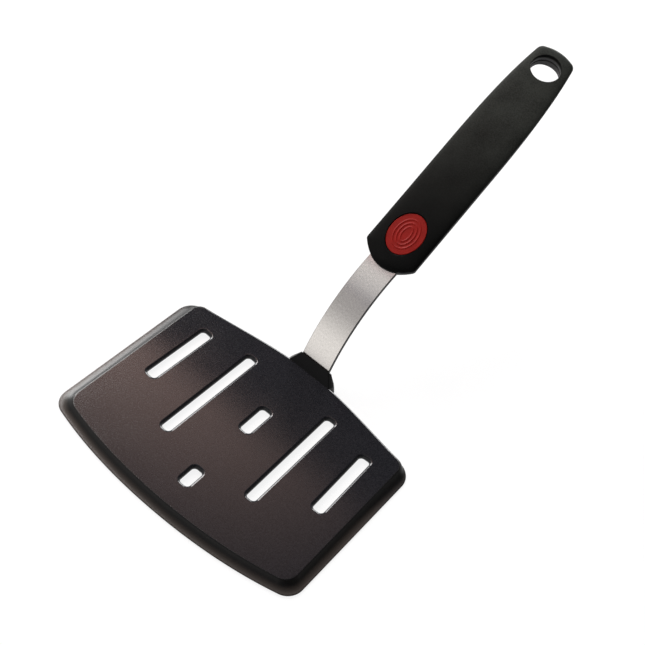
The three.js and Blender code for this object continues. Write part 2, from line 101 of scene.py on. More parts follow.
class GripFinish(IntEnum):
    """The order of the handle's finishes."""

    RUBBER = 0
    HOLE_WALL = 1
    HOLE_RIM = 2


# Curves


def blend(start: float, end: float, share: float) -> float:
    """A number between two others."""
    return start + (end - start) * share


def even(start: float, end: float, steps: int) -> list[float]:
    """Evenly spaced numbers from start to end, both included."""
    return [blend(start, end, step / steps) for step in range(steps + 1)]


def turned(degrees: float) -> Span:
    """The cosine and the sine of an angle in degrees."""
    return math.cos(math.radians(degrees)), math.sin(math.radians(degrees))


def quarter(radius: float, steps: int) -> list[Span]:
    """A quarter round from one tangent to another, as the distances from both."""
    turns = [turned(turn) for turn in even(0, 90, steps)]
    return [(radius * (1 - cosine), radius * (1 - sine)) for cosine, sine in turns]


def bezier(controls: Sequence[Vector], steps: int) -> Ring:
    """Points on a Bezier curve after its first point.

    Args:
        controls: The curve's control points, from start to end.
        steps: The number of points.

    Returns:
        The points, of which the last is the last control point.
    """
    points = []
    for share in even(0, 1, steps)[1:]:
        level = list(controls)
        while len(level) > 1:
            level = [first.lerp(second, share) for first, second in zip(level, level[1:])]
        points.append(level[0])
    return points


def round_corner(before: Vector, corner: Vector, after: Vector, radius: float) -> list[Vector]:
    """Control points of the round that replaces a corner.

    Args:
        before: The point that the outline comes from.
        corner: The sharp corner.
        after: The point that the outline goes to.
        radius: The radius of the round.

    Returns:
        The four control points, from where the round starts to where it ends.
    """
    arriving = (corner - before).normalized()
    leaving = (after - corner).normalized()
    turn = arriving.angle(leaving)
    reach = radius * math.tan(turn / 2)
    pull = reach - 4 / 3 * radius * math.tan(turn / 4)
    return [
        corner - arriving * reach,
        corner - arriving * pull,
        corner + leaving * pull,
        corner + leaving * reach,
    ]


def outlined(curves: Sequence[Sequence[Vector]], steps: Sequence[int]) -> Ring:
    """A full outline from the curves of its right half.

    Args:
        curves: The control points of each curve, from the middle line back to it.
        steps: The number of points on each curve.

    Returns:
        The ring, mirrored to the left.
    """
    half = [curves[0][0]]
    for controls, count in zip(curves, steps):
        half += bezier(controls, count)
    return half + [Vector((-point.x, point.y)) for point in reversed(half[1:-1])]


def oval(half_width: float, half_length: float, count: int) -> Ring:
    """A flat oval round the origin, from its right end."""
    turns = [2 * math.pi * step / count for step in range(count)]
    return [Vector((half_width * math.cos(turn), half_length * math.sin(turn))) for turn in turns]


# Meshes


def add(name: str, data: bpy.types.ID) -> Piece:
    """Adds an object to the scene.

    Args:
        name: Its name.
        data: Its mesh, lamp or camera.

    Returns:
        The object.
    """
    added = bpy.data.objects.new(name, data)
    bpy.context.scene.collection.objects.link(added)
    return added


@dataclass
class Shell:
    """A mesh in the making, through rings of points in millimetres."""

    name: str
    form: bmesh.types.BMesh = field(default_factory=bmesh.new)

    def stack(self, rings: Iterable[Ring]) -> tuple[Loop, Loop]:
        """Adds a stack of rings with bands of four-sided faces between them.

        Args:
            rings: The rings from below upwards, all with the same count.

        Returns:
            The points of the lowest and of the highest ring.
        """
        placed = [[self.form.verts.new(point) for point in ring] for ring in rings]
        for lower, upper in zip(placed, placed[1:]):
            for corners in zip(lower, lower[1:] + lower[:1], upper[1:] + upper[:1], upper):
                self.form.faces.new(corners)
        return placed[0], placed[-1]

    def solid(self, rings: Iterable[Ring]) -> None:
        """Adds a stack of rings with one flat face at each end."""
        for end in self.stack(rings):
            self.form.faces.new(end)

    def lid(self, ring: Loop) -> None:
        """Closes a mirrored ring with strips from its right side to its left.

        Args:
            ring: The ring, which starts on the middle line.
        """
        count = len(ring)
        for index in range(count // 2):
            across = count - 1 - index
            corners = [ring[index], ring[index + 1], ring[across], ring[(across + 1) % count]]
            kept = [corner for place, corner in enumerate(corners) if corner not in corners[:place]]
            if len(kept) > 2:
                self.form.faces.new(kept)

    def flat_face(self, loops: Iterable[Loop], up: float) -> None:
        """Fills a flat region between its outer loop and its holes.

        Args:
            loops: The outer loop and the loops of the holes.
            up: 1 for a face that looks up, -1 for one that looks down.
        """
        edges = []
        for loop in loops:
            for start, end in zip(loop, loop[1:] + loop[:1]):
                edges.append(self.form.edges.get((start, end)) or self.form.edges.new((start, end)))
        bmesh.ops.triangle_fill(self.form, use_beauty=True, edges=edges, normal=(0, 0, up))

    def piece(self, placing: Matrix) -> Piece:
        """Makes the object.

        Args:
            placing: Where the shell's own frame stands in the part's frame, in metres.

        Returns:
            The object, smooth shaded and in the scene.
        """
        bmesh.ops.recalc_face_normals(self.form, faces=self.form.faces)
        bmesh.ops.transform(self.form, matrix=placing @ Matrix.Scale(MM, 4), verts=self.form.verts)
        mesh = bpy.data.meshes.new(self.name)
        self.form.to_mesh(mesh)
        self.form.free()
        mesh.shade_smooth()
        return add(self.name, mesh)


def shape(piece: Piece, tool: Piece, shaping: Shaping) -> None:
    """Joins a closed mesh to a piece, or takes it away from the piece, and deletes the tool.

    Args:
        piece: The piece that changes.
        tool: The closed mesh that changes it.
        shaping: What the tool does.
    """
    modifier = piece.modifiers.new("shaping", "BOOLEAN")
    modifier.operation = shaping.value
    modifier.solver = "EXACT"
    modifier.object = tool
    graph = bpy.context.evaluated_depsgraph_get()
    shaped = bpy.data.meshes.new_from_object(piece.evaluated_get(graph))
    piece.modifiers.clear()
    spent = (piece.data, tool.data)
    piece.data = shaped
    shaped.name = piece.name
    bpy.data.objects.remove(tool)
    for mesh in spent:
        bpy.data.meshes.remove(mesh)


def crisp(piece: Piece, angle: float) -> None:
    """Keeps some edges sharp, and flat faces evenly shaded up to their rounds.

    Args:
        piece: The piece to shade.
        angle: The angle in degrees over which an edge stays sharp.
    """
    piece.data.shade_smooth()
    piece.data.set_sharp_from_angle(angle=math.radians(angle))
    shading = piece.modifiers.new("even_shading", "WEIGHTED_NORMAL")
    shading.keep_sharp = True


def dress(piece: Piece, surface: Surface, *materials: Material) -> None:
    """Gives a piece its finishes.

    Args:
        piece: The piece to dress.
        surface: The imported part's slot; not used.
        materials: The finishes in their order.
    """
    for material in materials:
        piece.data.materials.append(material)


# Finishes

# Nearly all values of a fractal noise lie between these ends.
NOISE_ENDS: Span = (0.3, 0.7)
# The wave texture turns by this many radians in each unit of its scaled place.
WAVE_TURN = 20


@dataclass(frozen=True)
class Noise:
    """Fractal noise: how fine it is, in repeats to a metre, and how many finer layers it has."""

    scale: float
    detail: float


class NodeTree:
    """The nodes of a material, a lamp or the world."""

    def __init__(self, owner: bpy.types.ID) -> None:
        """Opens the owner's nodes."""
        owner.use_nodes = True
        self.nodes = owner.node_tree.nodes
        self.links = owner.node_tree.links

    def node(self, kind: str, **settings: object) -> bpy.types.Node:
        """Adds a shader node.

        Args:
            kind: The last part of the node's type.
            settings: Its properties.

        Returns:
            The node.
        """
        node = self.nodes.new("ShaderNode" + kind)
        for name, value in settings.items():
            setattr(node, name, value)
        return node

    def join(self, source: Socket, target: Socket) -> None:
        """Links two sockets."""
        self.links.new(source, target)

    def axes(self, place: Socket) -> bpy.types.bpy_prop_collection:
        """The three numbers of a place.

        Args:
            place: The socket with the place.

        Returns:
            The sockets X, Y and Z.
        """
        split = self.node("SeparateXYZ")
        self.join(place, split.inputs["Vector"])
        return split.outputs

    def number(self, operation: str, *values: Socket | float, clamp: bool = False) -> Socket:
        """A number worked out from others.

        Args:
            operation: The name of the sum.
            values: What goes into it, as sockets or constants.
            clamp: Whether the result stays between 0 and 1.

        Returns:
            The socket with the result.
        """
        node = self.node("Math", operation=operation, use_clamp=clamp)
        for socket, value in zip(node.inputs, values):
            if isinstance(value, Socket):
                self.join(value, socket)
            else:
                socket.default_value = value
        return node.outputs["Value"]

    def fade(self, value: Socket, given: Span, wanted: Span, smooth: bool = False) -> Socket:
        """A value spread from one range to another, and held at the range's ends.

        Args:
            value: The socket with the value.
            given: The range that it comes from.
            wanted: The range that it goes to.
            smooth: Whether it starts and ends gently.

        Returns:
            The socket with the result.
        """
        spread = self.node("MapRange", interpolation_type="SMOOTHSTEP" if smooth else "LINEAR")
        for side, ends in (("From", given), ("To", wanted)):
            for end, number in zip(("Min", "Max"), ends):
                spread.inputs[f"{side} {end}"].default_value = number
        self.join(value, spread.inputs["Value"])
        return spread.outputs["Result"]

    def ramp(self, factor: Socket, stops: Sequence[tuple[float, Colour]]) -> Socket:
        """A colour that runs through others.

        Args:
            factor: Where on the way it is.
            stops: The colours with their places, from the first to the last.

        Returns:
            The socket with the colour.
        """
        node = self.node("ValToRGB")
        elements = node.color_ramp.elements
        for element, (place, colour) in zip(elements, (stops[0], stops[-1])):
            element.position = place
            element.color = (*colour, 1)
        for place, colour in stops[1:-1]:
            elements.new(place).color = (*colour, 1)
        self.join(factor, node.inputs["Fac"])
        return node.outputs["Color"]


class Recipe(NodeTree):
    """The nodes of one material around a Principled shader."""

    def __init__(self, name: str) -> None:
        """Starts a material with its shader and output."""
        self.material = bpy.data.materials.new(name)
        super().__init__(self.material)
        self.shader = self.nodes["Principled BSDF"]

    def base(self, **values: object) -> None:
        """Sets constants on the shader's own sockets, with _ for a space in their names."""
        for name, value in values.items():
            self.shader.inputs[name.replace("_", " ")].default_value = value

    def place(self, output: str = "Object", scale: Place = (1, 1, 1)) -> Socket:
        """Places on the surface.

        Args:
            output: The name of the coordinates, Object or UV.
            scale: How many times the pattern repeats in a metre along each axis.

        Returns:
            The socket with the scaled place.
        """
        mapping = self.node("Mapping")
        mapping.inputs["Scale"].default_value = scale
        self.join(self.node("TexCoord").outputs[output], mapping.inputs["Vector"])
        return mapping.outputs["Vector"]

    def grain(self, place: Socket, noise: Noise) -> Socket:
        """Fractal noise on the surface.

        Args:
            place: The socket with the place.
            noise: How fine the noise is.

        Returns:
            The socket with the noise, around one half.
        """
        node = self.node("TexNoise")
        node.inputs["Scale"].default_value = noise.scale
        node.inputs["Detail"].default_value = noise.detail
        self.join(place, node.inputs["Vector"])
        return node.outputs["Fac"]

    def relief(self, *heights: tuple[Socket, float]) -> None:
        """Fine relief on the surface.

        Args:
            heights: Patterns with the depth of each in metres.
        """
        normal = None
        for pattern, depth in heights:
            bump = self.node("Bump")
            bump.inputs["Distance"].default_value = depth
            self.join(pattern, bump.inputs["Height"])
            if normal is not None:
                self.join(normal, bump.inputs["Normal"])
            normal = bump.outputs["Normal"]
        self.join(normal, self.shader.inputs["Normal"])


@dataclass(frozen=True)
class Finish:
    """What every finish has: a name, two colours and a range of roughness."""

    name: str
    colours: tuple[Colour, Colour]
    roughness: Span

    def lay(self, recipe: Recipe, shade: Socket, dullness: Socket) -> None:
        """Lets the colour and the roughness vary between their ends.

        Args:
            recipe: The nodes of the material.
            shade: The pattern of the colour.
            dullness: The pattern of the roughness.
        """
        colour = recipe.ramp(shade, list(zip(NOISE_ENDS, self.colours)))
        recipe.join(colour, recipe.shader.inputs["Base Color"])
        recipe.join(recipe.fade(dullness, NOISE_ENDS, self.roughness), recipe.shader.inputs["Roughness"])


@dataclass(frozen=True)
class GrainedFinish(Finish):
    """A finish with one grain in its colour, its roughness and its relief."""

    grain: Noise
    grain_depth: float
    metallic: float = 0.0

    def material(self) -> Material:
        """Makes the finish.

        Returns:
            The material.
        """
        recipe = Recipe(self.name)
        grain = recipe.grain(recipe.place(), self.grain)
        self.lay(recipe, grain, grain)
        recipe.base(Metallic=self.metallic)
        recipe.relief((grain, self.grain_depth))
        return recipe.material


@dataclass(frozen=True)
class StripEdgePaintedReflection(GrainedFinish):
    """The strip's narrow sides, matt, and painted near black: a painted dark reflection."""

    name: str = "strip_edge_painted_reflection"
    # Near black for a metal: a painted dark reflection on the sides.
    colours: tuple[Colour, Colour] = ((0.006, 0.006, 0.006), (0.022, 0.021, 0.020))
    roughness: Span = (0.42, 0.60)
    grain: Noise = Noise(1600, 3)
    grain_depth: float = 0.008 * MM
    metallic: float = 1.0


@dataclass(frozen=True)
class HardPlastic(GrainedFinish):
    """The dark plastic inside the handle, which shows in the wall of the hanging hole."""

    name: str = "hard_plastic"
    colours: tuple[Colour, Colour] = ((0.018, 0.018, 0.020), (0.034, 0.034, 0.037))
    roughness: Span = (0.50, 0.62)
    grain: Noise = Noise(900, 3)
    grain_depth: float = 0.01 * MM


@dataclass(frozen=True)
class SatinSilicone(Finish):
    """Black silicone with a fine moulded texture."""

    name: str = "satin_silicone"
    colours: tuple[Colour, Colour] = ((0.0050, 0.0050, 0.0064), (0.0114, 0.0112, 0.0130))
    roughness: Span = (0.12, 0.15)
    cloud: Noise = Noise(60, 3)
    grain: Noise = Noise(2200, 2)
    grain_depth: float = 0.0020 * MM
    pores: Noise = Noise(1500, 1)
    pore_depth: float = 0.0055 * MM
    texture_pitch: float = 0.55 * MM
    texture_depth: float = 0.0012 * MM
    texture_wander: float = 0.6
    texture_wander_scale: float = 3.0
    index: float = 1.42
    gloss: float = 0.37

    def material(self) -> Material:
        """Makes the finish, with the mould's lines both ways.

        Returns:
            The material.
        """
        recipe = Recipe(self.name)
        place = recipe.place()
        pores = recipe.grain(place, self.pores)
        self.lay(recipe, pores, recipe.grain(place, self.cloud))
        recipe.base(IOR=self.index, Specular_IOR_Level=self.gloss)
        recipe.relief(
            (self.moulded(recipe, place, "X"), self.texture_depth),
            (self.moulded(recipe, place, "Y"), self.texture_depth),
            (recipe.grain(place, self.grain), self.grain_depth),
            (pores, self.pore_depth),
        )
        return recipe.material

    def moulded(self, recipe: Recipe, place: Socket, axis: str) -> Socket:
        """Fine lines of the mould's texture.

        Args:
            recipe: The nodes of the material.
            place: The socket with the place.
            axis: The axis that the lines run across.

        Returns:
            The socket with the pattern.
        """
        lines = recipe.node("TexWave", bands_direction=axis)
        lines.inputs["Scale"].default_value = 2 * math.pi / (WAVE_TURN * self.texture_pitch)
        lines.inputs["Distortion"].default_value = self.texture_wander
        lines.inputs["Detail Scale"].default_value = self.texture_wander_scale
        recipe.join(place, lines.inputs["Vector"])
        return lines.outputs["Fac"]


@dataclass(frozen=True)
class EdgeSiliconePaintedSheen(Finish):
    """The silicone of the blade's edge, matt, with a painted highlight that greys it at the lip and in front.
    """

    name: str = "edge_silicone_painted_sheen"
    # The first colour, lighter and warm, is a painted highlight at the lip and towards the front.
    colours: tuple[Colour, Colour] = ((0.028, 0.0222, 0.0182), (0.0022, 0.0019, 0.0018))
    roughness: Span = (0.27, 0.33)
    grain: Noise = Noise(2200, 2)
    grain_depth: float = 0.004 * MM
    grain_share: float = 0.4
    # Where the painted highlight lies: fading up from the lip, and back from the front.
    fades: tuple[tuple[str, Span, float], ...] = (
        ("Z", (0.45 * MM, 1.9 * MM), 0.5),
        ("Y", (-0.075, -0.038), 0.35),
    )
    index: float = 1.42
    gloss: float = 0.38

    def material(self) -> Material:
        """Makes the finish, with the painted highlight fading upwards and backwards.

        Returns:
            The material.
        """
        recipe = Recipe(self.name)
        place = recipe.place()
        axes = recipe.axes(place)
        grain = recipe.grain(place, self.grain)
        shade = recipe.number("MULTIPLY", grain, self.grain_share)
        for axis, reach, most in self.fades:
            shade = recipe.number("ADD", shade, recipe.fade(axes[axis], reach, (0.0, most), smooth=True))
        self.lay(recipe, shade, grain)
        recipe.base(IOR=self.index, Specular_IOR_Level=self.gloss)
        recipe.relief((grain, self.grain_depth))
        return recipe.material


@dataclass(frozen=True)
class BrushedSteel(Finish):
    """Steel brushed along the strip."""

    name: str = "brushed_steel"
    colours: tuple[Colour, Colour] = ((0.575, 0.548, 0.525), (0.735, 0.705, 0.68))
    roughness: Span = (0.19, 0.25)
    coordinates: str = "UV"
    stretch: Place = (3000, 1000, 1)
    scratches: Noise = Noise(1, 4)
    scratch_depth: float = 0.0055 * MM
    patches: Noise = Noise(600, 2)
    patch_depth: float = 0.0066 * MM

    def material(self) -> Material:
        """Makes the finish.

        Returns:
            The material.
        """
        recipe = Recipe(self.name)
        scratches = recipe.grain(recipe.place(self.coordinates, self.stretch), self.scratches)
        patches = recipe.grain(recipe.place(), self.patches)
        self.lay(recipe, scratches, scratches)
        recipe.base(Metallic=1.0)
        recipe.relief((scratches, self.scratch_depth), (patches, self.patch_depth))
        return recipe.material


@dataclass(frozen=True)
class SoftGrip(Finish):
    """Matt black rubber with a fine grain, and a painted grey sheen towards the tail."""

    name: str = "soft_grip"
    colours: tuple[Colour, Colour] = ((0.0012, 0.0014, 0.0014), (0.0030, 0.0034, 0.0033))
    roughness: Span = (0.42, 0.50)
    grain: Noise = Noise(2600, 3)
    grain_depth: float = 0.025 * MM
    cloud: Noise = Noise(90, 3)
    painted_sheen_grain: Noise = Noise(1800, 1)
    # A painted sheen: this grey is laid over the rubber towards the tail, in clouds.
    painted_sheen: Colour = (0.0250, 0.0275, 0.0245)
    painted_sheen_reach: Span = (0.025, 0.112)
    painted_sheen_share: Span = (0.38, 1.28)
    index: float = 1.4
    gloss: float = 0.06

    def material(self) -> Material:
        """Makes the finish.

        Returns:
            The material.
        """
        recipe = Recipe(self.name)
        place = recipe.place()
        grain = recipe.grain(place, self.grain)
        cloud = recipe.grain(place, self.cloud)
        self.lay(recipe, grain, cloud)
        recipe.base(IOR=self.index, Specular_IOR_Level=self.gloss)
        # The clouds of the painted sheen.
        painted_sheen_cloud = recipe.number("ADD", cloud, recipe.grain(place, self.painted_sheen_grain))
        self.add_painted_sheen(recipe, place, recipe.number("DIVIDE", painted_sheen_cloud, 2.0))
        recipe.relief((grain, self.grain_depth))
        return recipe.material

    def add_painted_sheen(self, recipe: Recipe, place: Socket, cloud: Socket) -> None:
        """Greys the rubber with a painted sheen in soft clouds that grow along the handle.

        Args:
            recipe: The nodes of the material.
            place: The socket with the place.
            cloud: The pattern of the clouds.
        """
        reach = recipe.fade(recipe.axes(place)["Y"], self.painted_sheen_reach, (0.0, 1.0), smooth=True)
        share = recipe.fade(cloud, NOISE_ENDS, self.painted_sheen_share)
        mix = recipe.node("Mix", data_type="RGBA")
        mix.inputs["B"].default_value = (*self.painted_sheen, 1)
        recipe.join(recipe.number("MULTIPLY", reach, share, clamp=True), mix.inputs["Factor"])
        base = recipe.shader.inputs["Base Color"]
        recipe.join(base.links[0].from_socket, mix.inputs["A"])
        recipe.join(mix.outputs["Result"], base)


@dataclass(frozen=True)
class RedInsert(Finish):
    """Dark red plastic, slightly glossy."""

    name: str = "red_insert"
    colours: tuple[Colour, Colour] = ((0.190, 0.0062, 0.0040), (0.225, 0.0084, 0.0056))
    roughness: Span = (0.44, 0.52)
    grain: Noise = Noise(1900, 2)
    grain_depth: float = 0.010 * MM
    cloud: Noise = Noise(240, 2)
    index: float = 1.46
    gloss: float = 0.10

    def material(self) -> Material:
        """Makes the finish.

        Returns:
            The material.
        """
        recipe = Recipe(self.name)
        place = recipe.place()
        grain = recipe.grain(place, self.grain)
        self.lay(recipe, recipe.grain(place, self.cloud), grain)
        recipe.base(IOR=self.index, Specular_IOR_Level=self.gloss)
        recipe.relief((grain, self.grain_depth))
        return recipe.material


# Pieces


@dataclass
class NeckStrip:
    """The bent steel strip: a thin foot in the blade, a bend, a straight rise, an arch and a tang."""

    width: float = 15.2
    thickness: float = 2.0
    edge_cut: float = 0.2
    edge_cut_limit: float = 0.6
    foot_start: float = 74.6
    foot_end: float = 95.6
    foot_middle: float = 1.95
    foot_thickness: float = 0.6
    end_step: float = 0.4
    bend_radius: float = 5.0
    bend_steps: int = 10
    rise_angle: float = 62.0
    rise_length: float = 3.7
    arch_radius: float = 71.0
    arch_steps: int = 64
    entry_angle: float = 20.6
    tang_angle: float = 14.0
    tang_length: float = 32.0
    tang_shares: tuple[float, ...] = (0.25, 0.5, 0.75, 0.99, 1.0)
    crisp_angle: float = 40.0
    edge_normal: float = 0.6

    def bend_point(self, angle: float) -> Vector:
        """The middle of the bend where it slopes by an angle in degrees, as y and z."""
        cosine, sine = turned(angle)
        return Vector((self.foot_end, self.foot_middle)) + Vector((sine, 1 - cosine)) * self.bend_radius

    def arch_point(self, angle: float) -> Vector:
        """A place on the middle line of the arch.

        Args:
            angle: The slope there in degrees.

        Returns:
            Its y and z.
        """
        rise_cosine, rise_sine = turned(self.rise_angle)
        cosine, sine = turned(angle)
        start = self.bend_point(self.rise_angle) + Vector((rise_cosine, rise_sine)) * self.rise_length
        return start + Vector((rise_sine - sine, cosine - rise_cosine)) * self.arch_radius

    def stations(self) -> list[tuple[Vector, float, float]]:
        """The strip's middle line.

        Returns:
            For each station its y and z, its slope in degrees and the strip's thickness there.
        """
        line = []
        for y in (self.foot_start, self.foot_start + self.end_step, self.foot_end):
            line.append((Vector((y, self.foot_middle)), 0.0, self.foot_thickness))
        for share in even(0, 1, self.bend_steps)[1:]:
            slope = self.rise_angle * share
            line.append((self.bend_point(slope), slope, blend(self.foot_thickness, self.thickness, share**2)))
        for angle in even(self.rise_angle, self.tang_angle, self.arch_steps):
            line.append((self.arch_point(angle), angle, self.thickness))
        tang = Vector(turned(self.tang_angle)) * self.tang_length
        for share in self.tang_shares:
            line.append((self.arch_point(self.tang_angle) + tang * share, self.tang_angle, self.thickness))
        return line

    def section(self, thickness: float, grow: float) -> Ring:
        """The strip's cross-section with its edges cut off.

        Args:
            thickness: The strip's thickness.
            grow: How far the section stands outside the strip's own.

        Returns:
            The ring as x and height over the middle line.
        """
        half = Vector((self.width / 2 + grow, thickness / 2 + grow))
        edge = min(self.edge_cut + grow, self.edge_cut_limit * half.y)
        right = [Vector((half.x - edge, -half.y)), Vector((half.x, edge - half.y))]
        right += [Vector((point.x, -point.y)) for point in reversed(right)]
        return right + [Vector((-point.x, point.y)) for point in reversed(right)]

    def body(self, name: str, grow: float, placing: Matrix) -> Piece:
        """The strip, or the room that it needs when it is grown.

        Args:
            name: The name of the mesh.
            grow: How far it stands outside the strip.
            placing: Where the blade's frame stands.

        Returns:
            The closed mesh.
        """
        rings = []
        for middle, slope, thickness in self.stations():
            cosine, sine = turned(slope)
            across = Vector((0, -sine, cosine))
            centre = Vector((0, middle.x, middle.y))
            section = self.section(thickness, grow)
            rings.append([centre + Vector((point.x, 0, 0)) + across * point.y for point in section])
        shell = Shell(name)
        shell.solid(rings)
        return shell.piece(placing)

    def unroll(self, piece: Piece) -> None:
        """Gives the strip flat coordinates in metres, across and along it.

        Args:
            piece: The strip, with its points in the order of its stations.
        """
        middles = [middle for middle, _, _ in self.stations()]
        lengths = [0.0]
        for first, second in zip(middles, middles[1:]):
            lengths.append(lengths[-1] + (second - first).length * MM)
        count = len(self.section(self.thickness, 0))
        layer = piece.data.uv_layers.new(name="flat")
        for loop in piece.data.loops:
            across = piece.data.vertices[loop.vertex_index].co.x
            layer.data[loop.index].uv = (across, lengths[loop.vertex_index // count])

    def build(self, placing: Matrix) -> Piece:
        """Builds and dresses the strip.

        Args:
            placing: Where the blade's frame stands.

        Returns:
            The strip.
        """
        piece = self.body("steel_neck", 0, placing)
        self.unroll(piece)
        crisp(piece, self.crisp_angle)
        dress(piece, Surface.BRUSHED_STRIP, BrushedSteel().material(), StripEdgePaintedReflection().material())
        # The narrow sides take the near-black finish, a painted dark reflection.
        for face in piece.data.polygons:
            sideways = abs(face.normal.x) > self.edge_normal
            face.material_index = StripFinish.EDGE if sideways else StripFinish.FACE
        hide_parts("neck_strip")
        return piece


@dataclass(frozen=True)
class Slot:
    """One slot through the blade. Its share is its place on the blade's half width, minus on the left."""

    share: float
    y: float
    length: float
    width: float


@dataclass
class BladeJacket:
    """The silicone blade: a lip, a hollow cove on three sides, a flat slotted field and the neck's collar."""

    length: float = 98.2
    front_width: float = 139.99
    back_width: float = 132.0
    thickness: float = 3.0
    front_bow: float = 9.4
    back_bow: float = 8.05
    back_pulls: tuple[Span, Span] = ((0.64, 0.39), (1 / 3, 1.0))
    lip_corners: Span = (8.2, 8.7)
    field_corners: Span = (6.7, 4.7)
    outline_steps: tuple[int, ...] = (28, 16, 12, 16, 32)
    lip_thickness: float = 0.7
    lip_width: float = 0.7
    lip_steps: int = 4
    cove_width: float = 5.2
    cove_hollow: float = 1.9
    cove_end: float = 0.94
    cove_steps: int = 18
    rim_radius: float = 1.1
    rim_steps: int = 8
    outer_slot: Slot = Slot(0.714, 64.4, 34.2, 5.3)
    inner_slot: Slot = Slot(0.358, 58.65, 53.7, 4.8)
    middle_slot: Slot = Slot(0.0, 62.4, 14.6, 5.3)
    front_slot: Slot = Slot(0.0, 22.325, 9.85, 5.3)
    slot_corner: float = 1.7
    slot_corner_steps: int = 8
    slot_rim: float = 1.4
    slot_rim_steps: int = 9
    slot_fan: float = 770.0
    collar_half_widths: tuple[float, ...] = (13.5, 12.1, 8.6)
    collar_front_shares: tuple[float, ...] = (0.9, 0.955, 0.91)
    collar_sides: tuple[Span, ...] = ((1.0, 0.4), (1.0, 0.7), (0.9, 1.0))
    collar_waist: float = 0.6
    collar_mouth_drop: float = 1.8
    collar_gap: float = 0.25
    collar_wall: float = 0.55
    collar_front_reach: float = 1.3
    collar_base_reach: float = 2.0
    collar_base_lift: float = 0.05
    collar_heel: float = 2.4
    collar_edge: float = 0.22
    collar_edge_angle: float = 20.0
    collar_edge_steps: int = 2
    collar_edge_profile: float = 0.5
    # The collar's darker colours are painted shade; its specular level is lower too.
    collar_painted_shade_colours: tuple[Colour, Colour] = ((0.0016, 0.0016, 0.0020), (0.0026, 0.0025, 0.0029))
    collar_gloss: float = 0.11
    # How far from the back the edge finish, with its painted highlight, stops.
    painted_sheen_back_gap: float = 7.0
    fit_gap: float = 0.2
    crisp_angle: float = 32.0

    def half_width(self, y: float) -> float:
        """Half the blade's width between its corners at one length."""
        share = (y - self.front_bow) / (self.length - self.back_bow - self.front_bow)
        return blend(self.front_width, self.back_width, share) / 2

    def outline(self, inset: float, back_inset: float) -> Ring:
        """The blade's outline, drawn in.

        Args:
            inset: How far the front and the sides are drawn in.
            back_inset: How far the back is drawn in.

        Returns:
            The ring, from the middle of the front lip.
        """
        share = min(1, inset / self.cove_width)
        radii = [blend(lip, top, share) for lip, top in zip(self.lip_corners, self.field_corners)]
        front_y = inset + self.front_bow * (1 - 2 * inset / self.front_width) ** 2
        back_y = self.length - self.back_bow - back_inset + inset * self.back_bow / (self.back_width / 2)
        back_end = self.length - back_inset
        front = Vector((self.half_width(front_y) - inset, front_y))
        back = Vector((self.half_width(back_y) - inset, back_y))
        front_pull = Vector((front.x / 2, inset))
        back_pulls = [
            Vector((across * back.x, blend(back_y, back_end, along))) for across, along in self.back_pulls
        ]
        front_corner = round_corner(front_pull, front, back, radii[0])
        back_corner = round_corner(front, back, back_pulls[0], radii[1])
        curves = [
            [Vector((0, inset)), front_pull, front_corner[0]],
            front_corner,
            [front_corner[-1], back_corner[0]],
            back_corner,
            [back_corner[-1], *back_pulls, Vector((0, back_end))],
        ]
        return outlined(curves, self.outline_steps)

    def rim(self, height: float) -> float:
        """How far the round back rim is drawn in at a height."""
        above = max(0.0, height - (self.thickness - self.rim_radius))
        return self.rim_radius - math.sqrt(max(0.0, self.rim_radius**2 - above**2))

    def edge_profile(self) -> list[Vector]:
        """The lip, the cove and the round onto the field.

        Returns:
            The profile as inset and height, from below upwards.
        """
        lip = quarter(self.lip_thickness / 2, self.lip_steps)
        profile = [Vector((inset, height)) for height, inset in lip]
        profile += [Vector((inset, self.lip_thickness - drop)) for inset, drop in lip[1:]]
        rise = self.thickness - self.lip_thickness
        run = self.cove_width - self.lip_width
        for share in even(0, self.cove_end, self.cove_steps):
            inset = self.lip_width + run * share
            profile.append(Vector((inset, self.lip_thickness + rise * share**self.cove_hollow)))
        slope = rise * self.cove_hollow * self.cove_end ** (self.cove_hollow - 1) / run
        start = profile[-1]
        corner = Vector((start.x + (self.thickness - start.y) / slope, self.thickness))
        end = corner + Vector(((corner - start).length, 0))
        return profile + bezier([start, corner, end], self.rim_steps)

    def slots(self) -> list[Slot]:
        """The six slots from left to right, with two short ones on the middle line."""
        left = [replace(slot, share=-slot.share) for slot in (self.outer_slot, self.inner_slot)]
        return [*left, self.middle_slot, self.front_slot, self.inner_slot, self.outer_slot]

    def slot_ring(self, slot: Slot, grow: float, height: float) -> Ring:
        """A slot's outline.

        Args:
            slot: The slot.
            grow: How far the outline stands outside the slot's own.
            height: Its height.

        Returns:
            The ring.
        """
        middle = Vector((slot.share * self.half_width(slot.y), slot.y))
        lean = Matrix.Rotation(middle.x / self.slot_fan, 2)
        radius = self.slot_corner + grow
        reach = Vector((slot.width / 2 + grow - radius, slot.length / 2 + grow - radius))
        ring = []
        for corner, (side, way) in enumerate(((1, 1), (-1, 1), (-1, -1), (1, -1))):
            for turn in even(corner * 90, corner * 90 + 90, self.slot_corner_steps):
                offset = Vector((side * reach.x, way * reach.y)) + Vector(turned(turn)) * radius
                point = middle + lean @ offset
                ring.append(Vector((point.x, point.y, height)))
        return ring

    def slot_wall(self, slot: Slot) -> list[Ring]:
        """A slot's rounded wall.

        Args:
            slot: The slot.

        Returns:
            The rings from the underside to the field.
        """
        rim = quarter(self.slot_rim, self.slot_rim_steps)
        lower = [self.slot_ring(slot, grow, height) for grow, height in reversed(rim)]
        return lower + [self.slot_ring(slot, grow, self.thickness - drop) for grow, drop in rim]

